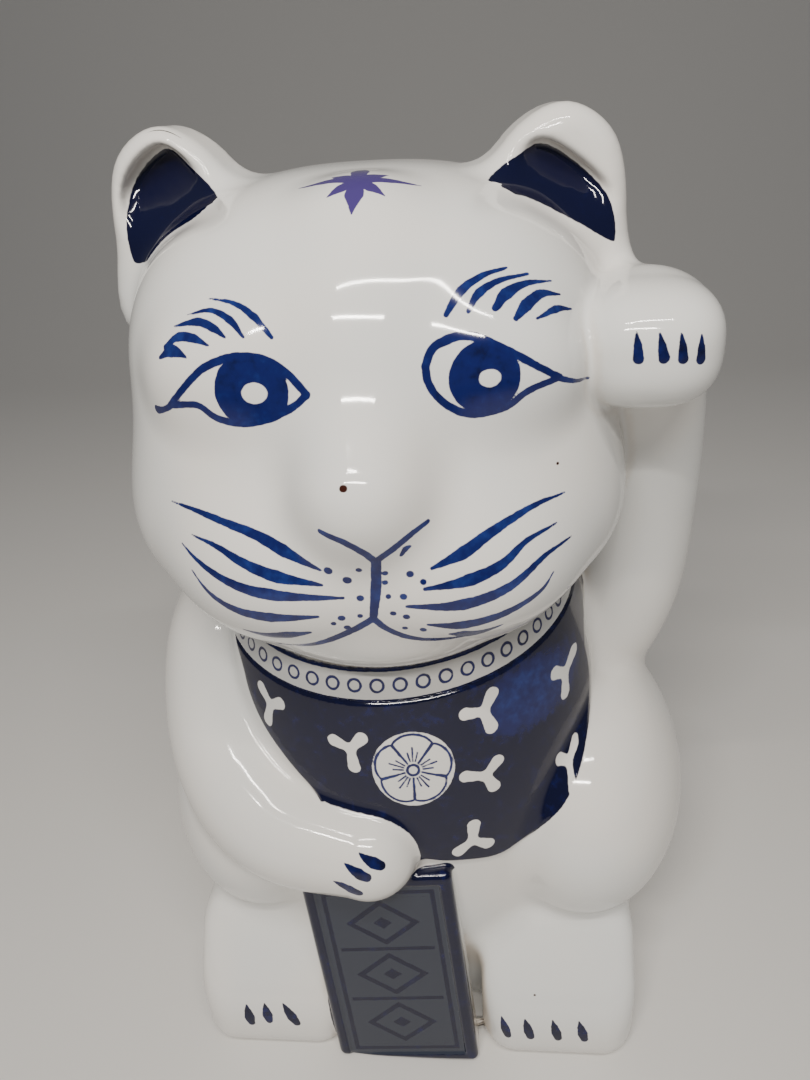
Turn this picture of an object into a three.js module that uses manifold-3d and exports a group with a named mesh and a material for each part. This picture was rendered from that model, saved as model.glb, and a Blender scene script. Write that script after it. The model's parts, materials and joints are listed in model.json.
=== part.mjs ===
// A seated beckoning cat in glazed porcelain, as the clay castings that are luted together before firing.
// Units are millimetres. +Z is up, the cat faces -Y, and its own left side is +X.
import * as THREE from "three";
import { RoundedBoxGeometry } from "three/addons/geometries/RoundedBoxGeometry.js";
import { mergeVertices } from "three/addons/utils/BufferGeometryUtils.js";
import Module from "manifold-3d";

const wasm = await Module();
wasm.setup();

// ---- Driving dimensions -------------------------------------------------------------------------------------
const WALL = 4.5; // slip-cast wall
const GAP = 0.3; // clearance between neighbouring castings
const RELIEF = 1.4; // how far bib and collar stand proud of the chest
const ROUND = 28; // sides of the large round forms

const HEAD = { centre: [-1, -6, 137.5], radii: [43, 39, 36], squareness: 2.6 };
const CHEEKS = { centre: [-1, -18, 119], radii: [43.5, 33, 22] };
const MUZZLE = { centre: [-0.5, -33, 114], radii: [28, 19, 15.5] };
const NOSE = { top: [-0.5, -41, 152], tip: [-0.5, -48, 132], radii: [6, 8.5] };
const EAR = { centre: [27.5, -8, 160], width: 29, height: 20, thickness: 13, turn: 0.3, dish: 2, edge: 4 };
const NECK_HOLE = { radius: 17, y: -4 };

// Torso profile: height, half-width, and how far the section's centre leans to the front.
const TORSO = [
  { z: -6, halfWidth: 37, lean: 0 },
  { z: 12, halfWidth: 41, lean: 0 },
  { z: 34, halfWidth: 44, lean: 0.5 },
  { z: 56, halfWidth: 43, lean: 2 },
  { z: 76, halfWidth: 40, lean: 4 },
  { z: 92, halfWidth: 36, lean: 6 },
  { z: 106, halfWidth: 31, lean: 8 },
];
const TORSO_DEPTH = 0.98; // depth of a torso section over its width

const HAUNCH = { y: -6, z: 46, radii: [24, 37, 29] };
const FOOT = { y: -27, z: 15, size: [32, 46, 34], edge: 7 };
const LEFT_LEG = { haunchX: 36, footX: 31.5 };
const RIGHT_LEG = { haunchX: 32.5, footX: 30 }; // measured towards the right
const INSTEP = { z: 32, y: -36, slope: 0.95 };
const LEG_VENT = { radius: 1.5, z: 45, y: -4 }; // lets hot air out of each leg into the torso

const RAISED_ARM = [
  { at: [36, 4, 66], r: 14 },
  { at: [45, 4, 88], r: 13.5 },
  { at: [47.5, 1, 110], r: 11.5 },
  { at: [47, -6, 131], r: 11 },
  { at: [44.5, -16, 145.5], r: 11.5 },
  { at: [43, -26, 146.5], r: 11 },
  { at: [42.5, -31, 144], r: 9.5 },
];
const LOWERED_ARM = [
  { at: [-35, 4, 92], r: 12.5 },
  { at: [-40, -8, 78], r: 13 },
  { at: [-35, -26, 64], r: 12 },
  { at: [-24, -38, 56], r: 11 },
  { at: [-6, -44, 56.5], r: 9.5 },
];
const TAIL = [
  { at: [10, 40, 22], r: 8 },
  { at: [2, 43, 30], r: 7.5 },
  { at: [-8, 43, 38], r: 6.5 },
  { at: [-12, 41, 49], r: 5 },
];

const PLAQUE = { width: 30, height: 50, thickness: 7, y: -45.4, z: 24.6, x: -3, tilt: 0.09, recline: 0.1 };
const COLLAR = { z: 96.5, width: 7.5, tilt: 0.2, y: -4 };
const BIB = { top: 96, bottom: 53, halfWidth: 37, side: 68 };
const BASE = { thickness: 4.5, vent: 1.8 };

// ---- Solids -------------------------------------------------------------------------------------------------
// A closed three.js geometry as a solid. Only the positions count, and vertices at one place become one.
function solid(geometry) {
  const bare = new THREE.BufferGeometry().setAttribute("position", geometry.getAttribute("position"));
  if (geometry.index) bare.setIndex(geometry.index);
  const merged = mergeVertices(bare, 1e-4);
  return new wasm.Manifold(
    new wasm.Mesh({
      numProp: 3,
      vertProperties: merged.attributes.position.array,
      triVerts: new Uint32Array(merged.index.array),
    }),
  );
}

function joined(...solids) {
  return solids.reduce((a, b) => a.add(b));
}

function box(low, high) {
  const size = high.map((h, i) => h - low[i]);
  const geometry = new THREE.BoxGeometry(...size);
  geometry.translate(...low.map((l, i) => l + size[i] / 2));
  return solid(geometry);
}

// Sphere with its poles up and down.
function sphere(detail = ROUND) {
  const geometry = new THREE.SphereGeometry(1, detail, Math.round(detail * 0.6));
  geometry.rotateX(Math.PI / 2);
  return geometry;
}

// An ellipsoid, or with a squareness above 2 one with fuller corners.
function ellipsoid({ centre, radii, squareness = 2 }, grow = 0, detail = ROUND) {
  const geometry = sphere(detail);
  const at = geometry.attributes.position;
  const p = new THREE.Vector3();
  for (let i = 0; i < at.count; i++) {
    p.fromBufferAttribute(at, i);
    const sum = [p.x, p.y, p.z].reduce((s, c) => s + Math.abs(c) ** squareness, 0);
    p.multiplyScalar(sum ** (-1 / squareness));
    at.setXYZ(i, p.x, p.y, p.z);
  }
  geometry.scale(...radii.map((r) => r + grow));
  geometry.translate(...centre);
  return solid(geometry);
}

// A round limb that follows a smooth route through its stations, with hemispherical ends.
function limb(stations, grow = 0, sides = 14, perStation = 2, capRings = 3) {
  const curve = new THREE.CatmullRomCurve3(stations.map((s) => new THREE.Vector3(...s.at)));
  const last = stations.length - 1;
  const rings = [];
  const steps = last * perStation;
  const radiusAt = (t) => {
    const i = Math.min(Math.floor(t * last), last - 1);
    return THREE.MathUtils.lerp(stations[i].r, stations[i + 1].r, t * last - i) + grow;
  };
  const cap = (end, tangent, radius) => {
    for (let k = 1; k < capRings; k++) {
      const turn = (k / capRings) * (Math.PI / 2);
      const along = radius * (end === 0 ? -Math.cos(turn) : Math.sin(turn));
      const around = radius * (end === 0 ? Math.sin(turn) : Math.cos(turn));
      rings.push({ centre: curve.getPoint(end).addScaledVector(tangent, along), tangent, radius: around });
    }
  };
  cap(0, curve.getTangent(0), radiusAt(0));
  for (let i = 0; i <= steps; i++) {
    const t = i / steps;
    rings.push({ centre: curve.getPoint(t), tangent: curve.getTangent(t), radius: radiusAt(t) });
  }
  cap(1, curve.getTangent(1), radiusAt(1));

  const tips = [
    curve.getPoint(0).addScaledVector(curve.getTangent(0), -radiusAt(0)),
    curve.getPoint(1).addScaledVector(curve.getTangent(1), radiusAt(1)),
  ];
  return solid(skinned(rings, sides, tips));
}

// The closed surface over a row of round rings, with a point at each end.
function skinned(rings, sides, tips) {
  const positions = [...tips[0].toArray()];
  let across = new THREE.Vector3(0.31, 0.87, 0.38);
  rings.forEach(({ centre, tangent, radius }) => {
    across = across.clone().addScaledVector(tangent, -across.dot(tangent)).normalize();
    const other = new THREE.Vector3().crossVectors(tangent, across);
    for (let k = 0; k < sides; k++) {
      const turn = (k / sides) * Math.PI * 2;
      const p = centre.clone();
      p.addScaledVector(across, radius * Math.cos(turn)).addScaledVector(other, radius * Math.sin(turn));
      positions.push(...p.toArray());
    }
  });
  positions.push(...tips[1].toArray());
  const end = positions.length / 3 - 1;
  const index = [];
  for (let k = 0; k < sides; k++) {
    const next = (k + 1) % sides;
    index.push(0, 1 + next, 1 + k);
    for (let r = 0; r < rings.length - 1; r++) {
      const a = 1 + r * sides;
      const b = a + sides;
      index.push(a + k, a + next, b + next, a + k, b + next, b + k);
    }
    const top = 1 + (rings.length - 1) * sides;
    index.push(top + k, top + next, end);
  }
  const geometry = new THREE.BufferGeometry();
  geometry.setAttribute("position", new THREE.Float32BufferAttribute(positions, 3));
  geometry.setIndex(index);
  return geometry;
}

function mirrored(part) {
  return part.mirror([1, 0, 0]);
}

// ---- Forms that neighbours are cut with ---------------------------------------------------------------------
function torsoForm(grow) {
  const profile = new THREE.SplineCurve(TORSO.map((row) => new THREE.Vector2(row.halfWidth + grow, row.z)));
  const rows = profile.getPoints(12);
  const top = TORSO.at(-1).z + 8 + grow;
  const outline = [new THREE.Vector2(0, TORSO[0].z), ...rows, new THREE.Vector2(0, top)];
  const geometry = new THREE.LatheGeometry(outline, 32);
  geometry.rotateX(Math.PI / 2);
  const at = geometry.attributes.position;
  for (let i = 0; i < at.count; i++) at.setY(i, at.getY(i) * TORSO_DEPTH - leanAt(at.getZ(i)));
  const made = solid(geometry);
  return made.volume() < 0 ? solid(turnedOut(geometry)) : made;
}

// The same geometry with each face turned over.
function turnedOut(geometry) {
  const index = geometry.index.array;
  for (let i = 0; i < index.length; i += 3) [index[i + 1], index[i + 2]] = [index[i + 2], index[i + 1]];
  return geometry;
}

function leanAt(z) {
  const i = Math.min(Math.max(TORSO.findIndex((row) => row.z > z) - 1, 0), TORSO.length - 2);
  const share = THREE.MathUtils.clamp((z - TORSO[i].z) / (TORSO[i + 1].z - TORSO[i].z), 0, 1);
  return THREE.MathUtils.lerp(TORSO[i].lean, TORSO[i + 1].lean, z > TORSO.at(-1).z ? 1 : share);
}

function headForm(grow) {
  const nose = limb(
    [
      { at: NOSE.top, r: NOSE.radii[0] },
      { at: NOSE.tip, r: NOSE.radii[1] },
    ],
    grow,
  );
  return joined(ellipsoid(HEAD, grow), ellipsoid(CHEEKS, grow), ellipsoid(MUZZLE, grow), nose);
}

function haunchForm({ haunchX }, grow) {
  return ellipsoid({ centre: [haunchX, HAUNCH.y, HAUNCH.z], radii: HAUNCH.radii }, grow);
}

function footForm({ footX }, grow) {
  const size = FOOT.size.map((s) => s + 2 * grow);
  const geometry = new RoundedBoxGeometry(...size, 2, FOOT.edge);
  geometry.translate(footX, FOOT.y, FOOT.z);
  const instep = new THREE.BoxGeometry(120, 60, 60);
  instep.translate(0, -30, 30);
  instep.rotateX(INSTEP.slope);
  instep.translate(footX, INSTEP.y, INSTEP.z + grow);
  return solid(geometry).subtract(solid(instep));
}

function legForm(leg, grow) {
  const form = joined(haunchForm(leg, grow), footForm(leg, grow));
  return leg === RIGHT_LEG ? mirrored(form) : form;
}

function bothLegs(grow) {
  return joined(legForm(LEFT_LEG, grow), legForm(RIGHT_LEG, grow));
}

function plaqueForm(grow) {
  const { width, height, thickness } = PLAQUE;
  const geometry = new RoundedBoxGeometry(width + 2 * grow, thickness + 2 * grow, height + 2 * grow, 2, 1.2);
  geometry.rotateX(-PLAQUE.recline);
  geometry.rotateY(-PLAQUE.tilt);
  geometry.translate(PLAQUE.x, PLAQUE.y, PLAQUE.z);
  return solid(geometry);
}

// ---- Castings -----------------------------------------------------------------------------------------------
const ABOVE_TABLE = box([-90, -90, 0], [90, 90, 200]);

function head() {
  const { centre, radii, squareness } = HEAD;
  const hollow = ellipsoid({ centre, radii, squareness }, -WALL, 20);
  return headForm(0).subtract(hollow).subtract(torsoForm(GAP));
}

// An ear lobe with a dished front, for the left (side 1) or the right (side -1) of the head.
function ear(side) {
  const { width, height, thickness, centre, turn, edge } = EAR;
  const outline = (inset) => {
    const shape = new THREE.Shape();
    const half = width / 2 - inset;
    const low = -12 + inset;
    const top = height - inset;
    shape.moveTo(-half, low);
    shape.lineTo(half, low);
    shape.bezierCurveTo(half * 1.05, top * 0.75, half * 0.8, top, half * 0.25, top);
    shape.bezierCurveTo(-half * 0.25, top, -half * 0.7, top * 0.5, -half, low);
    return shape;
  };
  const extrude = (inset, depth, bevel) => {
    const geometry = new THREE.ExtrudeGeometry(outline(inset + bevel), {
      depth: depth - 2 * bevel,
      bevelSize: bevel,
      bevelThickness: bevel,
      bevelSegments: 3,
      curveSegments: 8,
    });
    geometry.translate(0, 0, bevel - depth / 2);
    geometry.rotateX(Math.PI / 2);
    geometry.rotateZ(turn);
    geometry.translate(...centre);
    return geometry;
  };
  const dish = extrude(4, EAR.dish * 2, 0.9);
  dish.translate(Math.sin(turn) * (thickness / 2), -Math.cos(turn) * (thickness / 2), 0);
  const lobe = solid(extrude(0, thickness, edge)).subtract(solid(dish));
  return (side < 0 ? mirrored(lobe) : lobe)
    .translate(HEAD.centre[0], 0, 0)
    .subtract(headForm(GAP))
    .subtract(limb(RAISED_ARM, GAP));
}

function torso() {
  const shell = torsoForm(0).subtract(torsoForm(-WALL));
  const neck = new THREE.CylinderGeometry(NECK_HOLE.radius, NECK_HOLE.radius, 40, 24);
  neck.rotateX(Math.PI / 2);
  neck.translate(0, NECK_HOLE.y, TORSO.at(-1).z + 6);
  const vent = new THREE.CylinderGeometry(LEG_VENT.radius, LEG_VENT.radius, 120, 12);
  vent.rotateZ(Math.PI / 2);
  vent.translate(0, LEG_VENT.y, LEG_VENT.z);
  return shell.subtract(solid(neck)).subtract(solid(vent)).intersect(ABOVE_TABLE);
}

function baseDisc() {
  const plug = torsoForm(-WALL - GAP).intersect(box([-60, -60, 0], [60, 60, BASE.thickness]));
  const vent = new THREE.CylinderGeometry(BASE.vent, BASE.vent, 20, 20);
  vent.rotateX(Math.PI / 2);
  return plug.subtract(solid(vent));
}

function hindLeg(leg) {
  const hollow = legForm(leg, -WALL).intersect(box([-90, -90, WALL], [90, 90, 200]));
  return legForm(leg, 0).subtract(hollow).subtract(torsoForm(GAP)).intersect(ABOVE_TABLE);
}

function raisedArm() {
  return limb(RAISED_ARM).subtract(headForm(GAP)).subtract(torsoForm(GAP)).subtract(bothLegs(GAP));
}

function loweredArm() {
  return limb(LOWERED_ARM)
    .subtract(headForm(GAP))
    .subtract(torsoForm(RELIEF + 2 * GAP))
    .subtract(bothLegs(GAP));
}

function tail() {
  return limb(TAIL, 0, 14).subtract(torsoForm(GAP)).subtract(bothLegs(GAP));
}

// A slab across the neck, higher at the back, from the collar's lower edge up.
function neckSlab(height) {
  const geometry = new THREE.BoxGeometry(140, 140, height);
  geometry.translate(0, 0, height / 2);
  geometry.rotateX(COLLAR.tilt);
  geometry.translate(0, COLLAR.y, COLLAR.z);
  return solid(geometry);
}

function overChest(thickness) {
  return torsoForm(thickness).subtract(torsoForm(GAP)).subtract(headForm(GAP));
}

function collar() {
  return overChest(RELIEF + 1)
    .intersect(neckSlab(COLLAR.width))
    .subtract(limb(RAISED_ARM, GAP))
    .subtract(limb(LOWERED_ARM, GAP));
}

function bib() {
  const { top, bottom, halfWidth, side } = BIB;
  const outline = new THREE.Shape();
  outline.moveTo(-halfWidth, top + 12);
  outline.lineTo(halfWidth, top + 12);
  outline.lineTo(halfWidth, side);
  outline.bezierCurveTo(halfWidth * 0.8, bottom + 4, halfWidth * 0.45, bottom, 3, bottom);
  outline.bezierCurveTo(-halfWidth * 0.5, bottom, -halfWidth * 0.8, side - 8, -halfWidth, side + 4);
  const prism = new THREE.ExtrudeGeometry(outline, { depth: 60, bevelEnabled: false, curveSegments: 10 });
  prism.rotateX(Math.PI / 2);
  prism.translate(0, -12, 0);
  return overChest(RELIEF)
    .intersect(solid(prism))
    .subtract(neckSlab(60).translate(0, 0, -GAP))
    .subtract(limb(RAISED_ARM, GAP))
    .subtract(limb(LOWERED_ARM, GAP))
    .subtract(bothLegs(GAP));
}

function plaque() {
  return plaqueForm(0)
    .subtract(torsoForm(GAP))
    .subtract(bothLegs(GAP))
    .subtract(limb(LOWERED_ARM, GAP))
    .intersect(ABOVE_TABLE);
}

// ---- Assembly -----------------------------------------------------------------------------------------------
const GLAZE = new THREE.MeshStandardMaterial({ color: 0xe6e1d6, roughness: 0.12, metalness: 0 });
const COBALT = new THREE.MeshStandardMaterial({ color: 0x0b1644, roughness: 0.12, metalness: 0 });
const GREY_BLUE = new THREE.MeshStandardMaterial({ color: 0x4b5468, roughness: 0.2, metalness: 0 });
const BISQUE = new THREE.MeshStandardMaterial({ color: 0xd9d2c2, roughness: 0.8, metalness: 0 });

const figure = new THREE.Group();

function place(name, part, material) {
  const found = part.getMesh();
  const geometry = new THREE.BufferGeometry();
  geometry.setAttribute("position", new THREE.BufferAttribute(found.vertProperties, 3));
  geometry.setIndex(new THREE.BufferAttribute(found.triVerts, 1));
  geometry.computeVertexNormals();
  const mesh = new THREE.Mesh(geometry, material);
  mesh.name = name;
  figure.add(mesh);
}

place("head", head(), GLAZE);
place("left_ear", ear(1), GLAZE);
place("right_ear", ear(-1), GLAZE);
place("torso", torso(), GLAZE);
place("left_hind_leg", hindLeg(LEFT_LEG), GLAZE);
place("right_hind_leg", hindLeg(RIGHT_LEG), GLAZE);
place("raised_arm", raisedArm(), GLAZE);
place("lowered_arm", loweredArm(), GLAZE);
place("tail", tail(), GLAZE);
place("collar", collar(), GREY_BLUE);
place("bib", bib(), COBALT);
place("plaque", plaque(), GREY_BLUE);
place("base_disc", baseDisc(), BISQUE);

// The origin is the middle of the bounding box's underside.
const bounds = new THREE.Box3().setFromObject(figure);
const middle = bounds.getCenter(new THREE.Vector3());
figure.position.set(-middle.x, -middle.y, -bounds.min.z);

export default figure;
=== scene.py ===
"""A seated beckoning cat in glazed porcelain with cobalt brushwork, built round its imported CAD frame.

The figure is one continuous glazed skin. Its form is a distance field, made of simple solids that
melt into each other. The skin is meshed from that field, painted by the distance to brush strokes,
and cut into one closed shell for each casting of the frame. Lengths are in figure millimetres: the
cat is 180 of them tall, faces -Y, and has its own left side at +X.
"""

import json

import bpy
import numpy as np
from mathutils import Matrix, Vector


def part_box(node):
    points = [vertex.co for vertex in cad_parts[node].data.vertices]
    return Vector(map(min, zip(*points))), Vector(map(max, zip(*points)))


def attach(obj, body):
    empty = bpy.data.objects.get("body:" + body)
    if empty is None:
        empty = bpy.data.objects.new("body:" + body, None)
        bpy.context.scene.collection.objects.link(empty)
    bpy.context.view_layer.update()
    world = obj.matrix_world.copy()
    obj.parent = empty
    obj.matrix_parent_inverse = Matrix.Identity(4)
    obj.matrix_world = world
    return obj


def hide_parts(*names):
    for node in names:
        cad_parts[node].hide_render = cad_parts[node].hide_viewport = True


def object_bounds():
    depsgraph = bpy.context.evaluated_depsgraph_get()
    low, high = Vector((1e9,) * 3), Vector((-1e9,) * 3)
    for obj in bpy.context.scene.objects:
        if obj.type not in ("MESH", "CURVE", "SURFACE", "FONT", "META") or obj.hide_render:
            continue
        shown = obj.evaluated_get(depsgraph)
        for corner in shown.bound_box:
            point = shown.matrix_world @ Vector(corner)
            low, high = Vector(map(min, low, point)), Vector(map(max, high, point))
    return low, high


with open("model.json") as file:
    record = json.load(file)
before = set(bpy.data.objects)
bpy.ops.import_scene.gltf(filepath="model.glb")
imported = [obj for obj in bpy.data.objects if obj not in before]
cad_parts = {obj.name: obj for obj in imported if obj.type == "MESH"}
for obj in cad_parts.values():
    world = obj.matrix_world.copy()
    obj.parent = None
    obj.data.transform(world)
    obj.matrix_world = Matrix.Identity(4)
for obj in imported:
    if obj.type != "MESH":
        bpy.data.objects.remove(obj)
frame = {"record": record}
FRAME_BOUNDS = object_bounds()

# ---- The figure's own frame ----------------------------------------------------------------------
FIGURE_HEIGHT = 180.0
MM = (FRAME_BOUNDS[1].z - FRAME_BOUNDS[0].z) / FIGURE_HEIGHT
BASE_LOW, BASE_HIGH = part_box("base_disc")
ORIGIN = np.array([(BASE_LOW.x + BASE_HIGH.x) / 2, (BASE_LOW.y + BASE_HIGH.y) / 2, FRAME_BOUNDS[0].z])
SIDES = {"left": 1, "right": -1}  # the cat's left is at +X


def node_box(node):
    """Lowest and highest corner of a CAD node, in figure millimetres."""
    return [(np.array(corner) - ORIGIN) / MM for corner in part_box(node)]


NODES = [part["node"] for part in frame["record"]["subparts"]]
NODE_BOXES = {node: node_box(node) for node in NODES}


# ---- Distances to simple solids ------------------------------------------------------------------
def length(vectors):
    return np.sqrt(np.einsum("...i,...i", vectors, vectors))


REACH = 16.0  # nothing melts into a neighbour over more than this
OUT_OF_REACH = 1000.0


def within(p, low, high, form):
    """The form's distance at the points within reach of a box, and a large number elsewhere."""
    near = ((p > np.array(low) - REACH) & (p < np.array(high) + REACH)).all(-1)
    made = np.full(len(p), OUT_OF_REACH)
    if near.any():
        made[near] = form(p[near])
    return made


def near_node(node, p, form):
    """The same, for the box of a CAD node."""
    low, high = NODE_BOXES[node]
    return within(p, low, high, form)


def melt(a, b, width):
    """Union of two distances, with the crease between them rounded over that width."""
    near = np.clip(1 - np.abs(a - b) / width, 0, None)
    return np.minimum(a, b) - near * near * width / 4


def carve(a, b, width):
    """What is left of a after b is cut out of it, with the edge rounded over that width."""
    return -melt(-a, b, width)


def egg(p, centre, radii, squareness=2.0):
    """An ellipsoid. With a squareness above 2 its corners are fuller."""
    radii = np.array(radii, float)
    q = np.abs(p - np.array(centre)) / radii
    k = np.maximum((q**squareness).sum(-1) ** (1 / squareness), 1e-3)
    slope = length(q ** (squareness - 1) / radii) * k ** (1 - squareness)
    return (k - 1) / np.maximum(slope, 1e-4)


class Route:
    """A Catmull-Rom curve through stations, whose columns may be places, radii or anything else."""

    def __init__(self, stations):
        s = np.array(stations, float)
        s = np.vstack([2 * s[0] - s[1], s, 2 * s[-1] - s[-2]])
        a, b, c, d = s[:-3], s[1:-2], s[2:-1], s[3:]
        self.terms = np.stack([b, (c - a) / 2, a - 2.5 * b + 2 * c - d / 2, 1.5 * (b - c) + (d - a) / 2])
        self.spans = len(b)

    def at(self, u):
        """Value, slope and bend at u, which counts stations from the first."""
        span = np.clip(np.floor(u).astype(int), 0, self.spans - 1)
        t = (u - span)[:, None]
        a, b, c, d = self.terms[:, span]
        return a + t * (b + t * (c + t * d)), b + t * (2 * c + 3 * t * d), 2 * c + 6 * t * d

    def samples(self, per_span):
        return self.at(np.linspace(0, self.spans, self.spans * per_span + 1))[0]


def limb(p, route, per_span=4):
    """A round limb along a route whose columns are x, y, z and radius."""
    guide = route.samples(per_span)[:, :3]
    u = ((guide**2).sum(-1) - 2 * p @ guide.T).argmin(-1) / per_span
    for _ in range(3):
        value, slope, bend = [column[:, :3] for column in route.at(u)]
        away = p - value
        push = np.einsum("ij,ij->i", away, slope)
        stiffness = np.einsum("ij,ij->i", slope, slope) - np.einsum("ij,ij->i", away, bend)
        u = np.clip(u + push / np.maximum(stiffness, 1.0), 0, route.spans)
    value = route.at(u)[0]
    return length(p - value[:, :3]) - value[:, 3]


def turned(x_degrees=0.0, y_degrees=0.0, z_degrees=0.0):
    """Rotation matrix whose columns are the turned axes."""
    made = np.eye(3)
    for axis, degrees in enumerate((x_degrees, y_degrees, z_degrees)):
        made = np.array(Matrix.Rotation(np.radians(degrees), 3, "XYZ"[axis])) @ made
    return made


def block(p, centre, half, edge, axes=np.eye(3)):
    """A box with rounded edges."""
    q = np.abs((p - np.array(centre)) @ axes) - (np.array(half) - edge)
    return length(np.maximum(q, 0)) + np.minimum(q.max(-1), 0) - edge


def outline_distance(points, corners):
    """Distance of 2-D points from a closed outline, negative inside it."""
    corners = np.array(corners, float)
    nearest = np.full(len(points), 1e9)
    inside = np.zeros(len(points), bool)
    for a, b in zip(corners, np.roll(corners, -1, axis=0)):
        along = b - a
        t = np.clip((points - a) @ along / (along @ along), 0, 1)
        nearest = np.minimum(nearest, length(points - a - t[:, None] * along))
        straddles = (a[1] > points[:, 1]) != (b[1] > points[:, 1])
        with np.errstate(divide="ignore", invalid="ignore"):
            crossing = a[0] + (points[:, 1] - a[1]) / (b[1] - a[1]) * (b[0] - a[0])
        inside ^= straddles & (points[:, 0] < crossing)
    return np.where(inside, -nearest, nearest)


def closed_curve(corners, per_span=6):
    """A smooth closed outline through its corners."""
    corners = np.array(corners, float)
    round_trip = Route(np.vstack([corners[-1:], corners, corners[:2]]))
    return round_trip.samples(per_span)[per_span : -per_span - 1]


# ---- The cat's form ------------------------------------------------------------------------------
TORSO_PROFILE = Route(  # height, half-width, lean to the front
    [(-8, 37, 0), (12, 41, 0), (34, 44, 0.5), (56, 43, 2)]
    + [(76, 40, 4), (92, 36, 6), (106, 31, 8), (120, 24, 8)]
).samples(8)
TORSO_DEPTH = 0.98
HEAD_X = -2.5  # the head sits a little to the cat's right
NOSE_X = -0.8
NOSE = Route(
    [(NOSE_X, -26, 163, 9), (NOSE_X, -33.5, 152, 10), (NOSE_X, -38.5, 142, 10.5), (NOSE_X, -47.5, 132.5, 9.5)]
)
NECK_TOP = 118.0  # the torso ends here, inside the head
COLLAR_TILT = 11.5  # degrees
COLLAR_ROLL = 4.0
COLLAR_FRONT = -40.0
COLLAR_HEIGHT = 94.3  # of its middle, at the front
COLLAR_HALF = 3.2
COLLAR_RELIEF = 1.0
BIB_RELIEF = 1.0
BIB_BACK = -5.0  # the bib is only in front of this
BIB_EDGE = (-0.5, 0.7)  # where the relief begins and is full, from the outline inwards
COLLAR_EDGE = (-0.4, 0.6)
BIB_OUTLINE = closed_curve(
    [(-31, 98), (-30, 87), (-27, 80), (-21.7, 74), (-14, 67), (-5, 60), (3, 55), (12, 52.6)]
    + [(21, 52), (29.5, 59), (35, 67), (38, 76), (36.8, 86), (33, 100), (0, 108)]
)

RAISED_ARM = Route(
    [(36, 4, 66, 14), (45, 4, 87, 13.5), (47.3, 1, 110, 12), (46, -6, 131, 11), (42.5, -16, 146, 10)]
)
LOWERED_ARM = Route(
    [(-35, 4, 92, 12.5), (-40, -8, 78, 13), (-35, -26, 65.5, 13)]
    + [(-24, -37, 57.5, 12.3), (-6, -44, 56.5, 9.5)]
)
TAIL = Route([(10, 40, 22, 8), (2, 43, 30, 7.5), (-8, 43, 38, 6.5), (-12, 41, 49, 5)])
PLAQUE_TURN = turned(x_degrees=-5.7, y_degrees=-5.2)
PLAQUE_MIDDLE = (-3, -45.4, 24.6)
PLAQUE_HALF = (15, 3.5, 26)
PLAQUE_BORDER = 2.6
PLAQUE_FACE = PLAQUE_HALF[1] - 2.2  # paint is only in front of this

EAR_OUTLINE = closed_curve(
    [(14, -12), (15, 4), (12.5, 15.5), (5, 20.5), (-3, 17.5), (-10, 8.5), (-17, -2), (-20, -12)]
)
EAR_TURN = 8  # degrees
EAR_HALF_THICKNESS = 6.5
EAR_ROUNDING = 4
EAR_DISHES = {  # seen from the front, outwards from the middle of the head; the cat's two differ
    1: closed_curve(
        [(30, 175.5), (24, 174), (19, 170.5), (18.5, 168), (25, 167.5), (33, 163.5), (41, 159.5), (39.5, 168)]
    ),
    -1: closed_curve(
        [(32, 178), (26, 175), (20.5, 170.5), (16, 168), (24, 167)]
        + [(31, 164), (36, 160), (40, 161), (39, 172)]
    ),
}
DISH_FACING = np.array([0.45, -0.68, 0.58])
DISH_MIDDLE = np.array([30.0, -17.0, 169.5])
DISH_RADIUS = 32.0
DISH_DEPTH = 3.0
DISH_EDGE = 1.5
INSTEP_SLOPE = 0.95  # radians


def torso_profile(z):
    """Half-width and lean of the torso at a height."""
    return [np.interp(z, TORSO_PROFILE[:, 0], TORSO_PROFILE[:, column]) for column in (1, 2)]


def collar_height(p):
    """Height above the middle of the collar, which climbs towards the back and a little to the cat's left."""
    tilt, roll = np.tan(np.radians([COLLAR_TILT, COLLAR_ROLL]))
    return p[:, 2] - COLLAR_HEIGHT - tilt * (p[:, 1] - COLLAR_FRONT) - roll * p[:, 0]


def step(value, low, high):
    t = np.clip((value - low) / (high - low), 0, 1)
    return t * t * (3 - 2 * t)


def bib_distance(p):
    """Distance from the bib's edge, over the front of the torso only."""
    made = np.maximum(outline_distance(p[:, [0, 2]], BIB_OUTLINE), collar_height(p) + COLLAR_HALF)
    return np.maximum(made, p[:, 1] - BIB_BACK)


def bare_torso(p):
    radius, lean = torso_profile(p[:, 2])
    slope = (torso_profile(p[:, 2] + 0.5)[0] - radius) / 0.5
    around = np.hypot(p[:, 0], (p[:, 1] + lean) / TORSO_DEPTH) - radius
    return np.maximum(around / np.sqrt(1 + slope**2), p[:, 2] - NECK_TOP)


def torso(p):
    """The torso with collar and bib standing proud of it."""
    made = bare_torso(p)
    near = np.abs(made) < 4
    q = p[near]
    bib = BIB_RELIEF * step(-bib_distance(q), *BIB_EDGE)
    collar = COLLAR_RELIEF * step(COLLAR_HALF - np.abs(collar_height(q)), *COLLAR_EDGE)
    made[near] -= np.maximum(bib, collar)
    return made


def head(p):
    skull = egg(p, (HEAD_X, -6, 137.5), (41.5, 39, 36), 2.6)
    cheeks = egg(p, (HEAD_X, -18, 119), (42, 33, 22))
    made = melt(skull, cheeks, 14)
    for side in SIDES.values():
        eye = egg(p, (NOSE_X + side * 18, -34.8, 147), (13, 8.5, 9))
        whisker_pad = egg(p, (NOSE_X + side * 12, -38, 117), (17, 14.2, 12))
        made = melt(melt(made, eye, 6), whisker_pad, 9)
    chin = egg(p, (NOSE_X, -37, 107), (17, 12.5, 8.5))
    return melt(melt(made, chin, 5), limb(p, NOSE), 6)


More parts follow.
